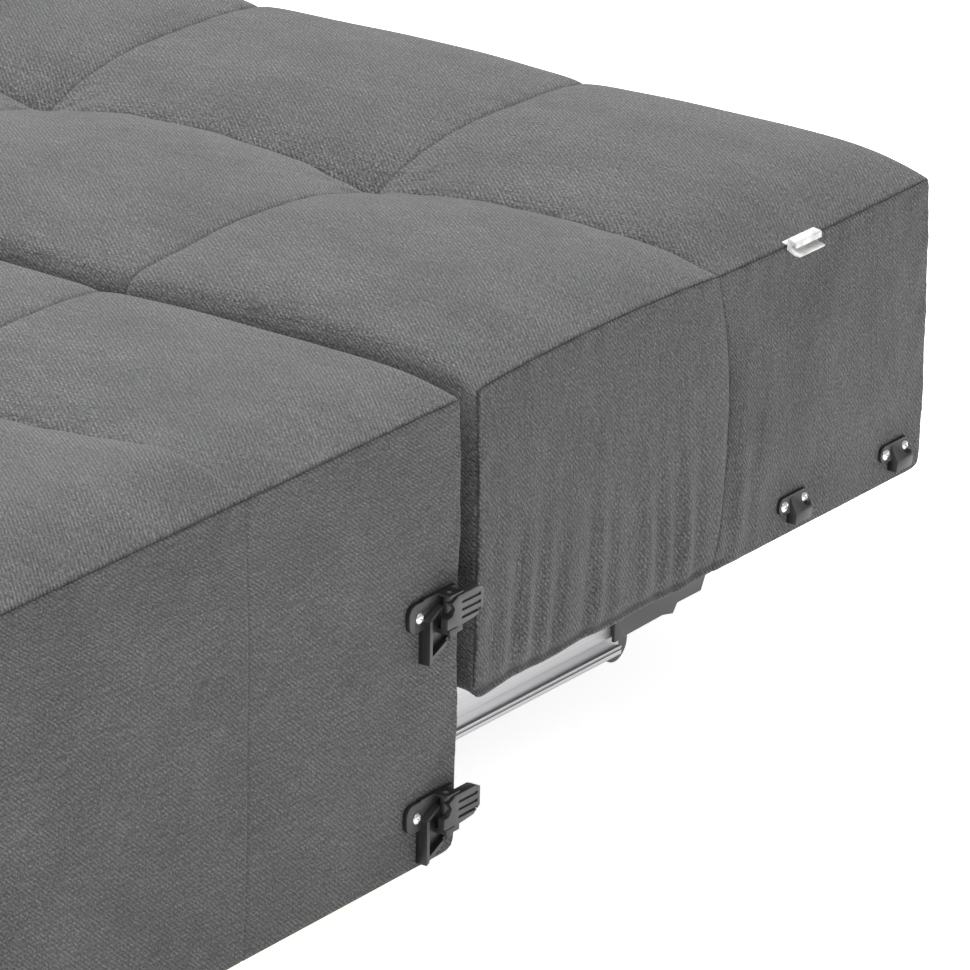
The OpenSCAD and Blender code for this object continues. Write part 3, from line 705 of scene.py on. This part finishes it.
def rounded_copy(name, width):
    """A copy of a CAD node with small rounds on its edges, in the node's place."""
    mesh = nodes[name].data.copy()
    mesh.name = name + "_shape"
    bm = bmesh.new()
    bm.from_mesh(mesh)
    bmesh.ops.remove_doubles(bm, verts=bm.verts, dist=SAME_VERTEX)
    bmesh.ops.dissolve_limit(bm, angle_limit=math.radians(1), verts=bm.verts, edges=bm.edges)
    bm.to_mesh(mesh)
    bm.free()
    piece = bpy.data.objects.new(name + "_moulding", mesh)
    scene.collection.objects.link(piece)
    bevel = piece.modifiers.new("round", "BEVEL")
    bevel.width = width
    bevel.segments = 2
    bevel.limit_method = "ANGLE"
    bevel.angle_limit = math.radians(35)
    bevel.use_clamp_overlap = True
    flatten(piece)
    paint(piece, finish_for(name))
    crisp(piece)
    return piece


def fastener_tree():
    """Node group: a cross-recessed domed head on a shank at each point of the input."""
    tree = bpy.data.node_groups.new("Fasteners", "GeometryNodeTree")
    tree.interface.new_socket("Places", in_out="INPUT", socket_type="NodeSocketGeometry")
    for label in ("Head Radius", "Head Height", "Shank Radius", "Shank Length"):
        tree.interface.new_socket(label, in_out="INPUT", socket_type="NodeSocketFloat")
    tree.interface.new_socket("Material", in_out="INPUT", socket_type="NodeSocketMaterial")
    tree.interface.new_socket("Geometry", in_out="OUTPUT", socket_type="NodeSocketGeometry")
    given = tree.nodes.new("NodeGroupInput")
    links = tree.links

    def vector(*parts):
        """Vector whose parts are (input name, factor) pairs or 0."""
        node = tree.nodes.new("ShaderNodeCombineXYZ")
        for i, part in enumerate(parts):
            if part:
                links.new(math_node(tree.nodes, links, "MULTIPLY", given.outputs[part[0]], part[1]),
                          node.inputs[i])
        return node.outputs[0]

    def moved(geometry, offset=None, scale=None):
        """Transform Geometry with a linked translation or scale."""
        node = tree.nodes.new("GeometryNodeTransform")
        links.new(geometry, node.inputs["Geometry"])
        for label, value in (("Translation", offset), ("Scale", scale)):
            if value is not None:
                links.new(value, node.inputs[label])
        return node.outputs[0]

    dome = tree.nodes.new("GeometryNodeMeshUVSphere")
    dome.inputs["Segments"].default_value = 32
    dome.inputs["Rings"].default_value = 16
    dome.inputs["Radius"].default_value = 1.0
    radius, height = "Head Radius", "Head Height"
    head = moved(dome.outputs["Mesh"], scale=vector((radius, 1), (radius, 1), (height, 1)))
    recess = tree.nodes.new("GeometryNodeMeshBoolean")
    recess.operation = "DIFFERENCE"
    links.new(head, recess.inputs["Mesh 1"])
    for size in (vector((radius, 1.15), (radius, 0.26), (height, 0.9)),
                 vector((radius, 0.26), (radius, 1.15), (height, 0.9))):
        arm = tree.nodes.new("GeometryNodeMeshCube")
        links.new(size, arm.inputs["Size"])
        links.new(moved(arm.outputs["Mesh"], offset=vector(0, 0, (height, 0.95))),
                  recess.inputs["Mesh 2"])
    shank = tree.nodes.new("GeometryNodeMeshCylinder")
    shank.inputs["Vertices"].default_value = 24
    links.new(given.outputs["Shank Radius"], shank.inputs["Radius"])
    links.new(given.outputs["Shank Length"], shank.inputs["Depth"])
    whole = tree.nodes.new("GeometryNodeJoinGeometry")
    links.new(recess.outputs["Mesh"], whole.inputs[0])
    links.new(moved(shank.outputs["Mesh"], offset=vector(0, 0, ("Shank Length", -0.5))),
              whole.inputs[0])
    turn = tree.nodes.new("GeometryNodeInputNamedAttribute")
    turn.data_type = "FLOAT_VECTOR"
    turn.inputs["Name"].default_value = "turn"
    copies = tree.nodes.new("GeometryNodeInstanceOnPoints")
    links.new(given.outputs["Places"], copies.inputs["Points"])
    links.new(whole.outputs[0], copies.inputs["Instance"])
    links.new(turn.outputs["Attribute"], copies.inputs["Rotation"])
    real = tree.nodes.new("GeometryNodeRealizeInstances")
    links.new(copies.outputs[0], real.inputs[0])
    finish = tree.nodes.new("GeometryNodeSetMaterial")
    links.new(real.outputs[0], finish.inputs["Geometry"])
    links.new(given.outputs["Material"], finish.inputs["Material"])
    result = tree.nodes.new("NodeGroupOutput")
    links.new(finish.outputs[0], result.inputs[0])
    return tree


def islands(name):
    """Low and high corner of each separate solid of a CAD node."""
    bm = bmesh.new()
    bm.from_mesh(nodes[name].data)
    bmesh.ops.remove_doubles(bm, verts=bm.verts, dist=SAME_VERTEX)
    left, boxes = set(bm.verts), []
    while left:
        group, queue = [], [left.pop()]
        while queue:
            vert = queue.pop()
            group.append(vert.co.copy())
            for edge in vert.link_edges:
                other = edge.other_vert(vert)
                if other in left:
                    left.remove(other)
                    queue.append(other)
        boxes.append((Vector([min(c[i] for c in group) for i in range(3)]),
                      Vector([max(c[i] for c in group) for i in range(3)])))
    bm.free()
    return boxes


def fasteners(name, axis, head_height, shank_radius):
    """Screws or bolts in the place of a CAD node's, with their heads outwards along an axis."""
    spots, turns = [], []
    rng = np.random.default_rng(21)
    for low, high in islands(name):
        middle = (low + high) / 2
        outward = -1.0 if axis == 2 or middle[axis] < 0 else 1.0
        size = high - low
        spot = middle.copy()
        spot[axis] += outward * (size[axis] / 2 - head_height)
        spots.append(spot)
        aim = Vector([outward if i == axis else 0.0 for i in range(3)]).to_track_quat("Z", "Y")
        turns.append((aim.to_matrix() @ Matrix.Rotation(rng.uniform(0, 1.5), 3, "Z")).to_euler())
    mesh = bpy.data.meshes.new(name + "_places")
    mesh.from_pydata(spots, [], [])
    mesh.attributes.new("turn", "FLOAT_VECTOR", "POINT").data.foreach_set(
        "vector", [part for euler in turns for part in euler])
    piece = bpy.data.objects.new(name + "_set", mesh)
    scene.collection.objects.link(piece)
    modifier = piece.modifiers.new("fasteners", "NODES")
    modifier.node_group = FASTENERS
    values = {"Head Radius": size[1] / 2, "Head Height": head_height,
              "Shank Radius": shank_radius, "Shank Length": size[axis] - head_height,
              "Material": STEEL}
    for item in FASTENERS.interface.items_tree:
        if item.in_out == "INPUT" and item.name in values:
            modifier[item.identifier] = values[item.name]
    flatten(piece)
    crisp(piece)
    return piece


FASTENERS = fastener_tree()
BODY_OF = {name: body for body, members in frame["record"]["behaviour"]["bodies"].items()
           for name in members}
ROUNDS = {"connector_": 0.0008, "lever_": 0.0008, "hook_first": 0.0008, "hook_second": 0.0008,
          "rail_end": 0.0020, "guide_rail": 0.0003, "seam_clips": 0.0003, "swing_arm": 0.0010}
rounded = [(name, fasteners(name, *sizes)) for name, sizes in (
    ("connector_screws", (0, 0.0025, 0.0020)),
    ("hook_screws", (0, 0.0025, 0.0020)),
    ("arm_bolts", (2, 0.0040, 0.0030)))]
made = [name for name, _ in rounded]
for node_name, obj in nodes.items():
    width = next((w for start, w in ROUNDS.items() if node_name.startswith(start)), None)
    if node_name in made:
        continue
    if width and node_name != "connector_pins":
        rounded.append((node_name, rounded_copy(node_name, width)))
    else:
        paint(obj, finish_for(node_name))


# ---- Floor, light and camera ----

def studio():
    """Pale floor, soft light from above and a pale surround."""
    mesh = bpy.data.meshes.new("studio_floor")
    half = 30
    mesh.from_pydata([(-half, -half, 0), (half, -half, 0), (half, half, 0), (-half, half, 0)],
                     [], [(0, 1, 2, 3)])
    floor = bpy.data.objects.new("studio_floor", mesh)
    scene.collection.objects.link(floor)
    paint(floor, floor_finish())
    world = bpy.data.worlds.new("studio")
    world.use_nodes = True
    world.node_tree.nodes["Background"].inputs["Color"].default_value = (1, 1, 1, 1)
    world.node_tree.nodes["Background"].inputs["Strength"].default_value = 0.50
    scene.world = world
    middle = Vector((0.4, 0.1, 0.2))
    for name, place, size, power in (("key", (-1.0, -1.0, 4.5), 4.5, 480),
                                     ("fill", (4.5, -2.0, 2.5), 3.0, 8)):
        light = bpy.data.lights.new(name, "AREA")
        light.energy = power
        light.size = size
        lamp = bpy.data.objects.new(name, light)
        scene.collection.objects.link(lamp)
        turn = (middle - Vector(place)).to_track_quat("-Z", "Y").to_matrix().to_4x4()
        lamp.matrix_world = Matrix.Translation(place) @ turn


def camera():
    """Long lens from the front right, a little above the sofa bed."""
    azimuth, elevation, roll = (math.radians(a) for a in (35.17, 21.014, 1.016))
    back_dir = Vector((math.sin(azimuth) * math.cos(elevation),
                       -math.cos(azimuth) * math.cos(elevation), math.sin(elevation)))
    forward = -back_dir
    right = forward.cross(Vector((0, 0, 1))).normalized()
    up = right.cross(forward)
    right, up = (right * math.cos(roll) + up * math.sin(roll),
                 up * math.cos(roll) - right * math.sin(roll))
    data = bpy.data.cameras.new("camera")
    data.sensor_width = 36
    data.lens = 310.0454
    data.clip_end = 200
    obj = bpy.data.objects.new("camera", data)
    turn = Matrix((right, up, back_dir)).transposed().to_4x4()
    obj.matrix_world = Matrix.Translation((4.1953, -4.4779, 2.4601)) @ turn
    scene.collection.objects.link(obj)
    scene.camera = obj


studio()
camera()
scene.view_settings.view_transform = "Standard"


# ---- Joining the pieces to the frame ----

for piece, body, stands_for in (
        (seat, "seat_base", ("seat_cushion", "seat_front_cover", "seat_rear_cover",
                             "seat_end_cover_left", "seat_end_cover_right")),
        (back, "back", ("back_cushion", "back_near_cover", "back_far_cover",
                        "back_end_cover_left", "back_end_cover_right"))):
    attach(piece, body)
    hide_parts(*stands_for)
for node_name, piece in rounded:
    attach(piece, BODY_OF[node_name])
    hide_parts(node_name)
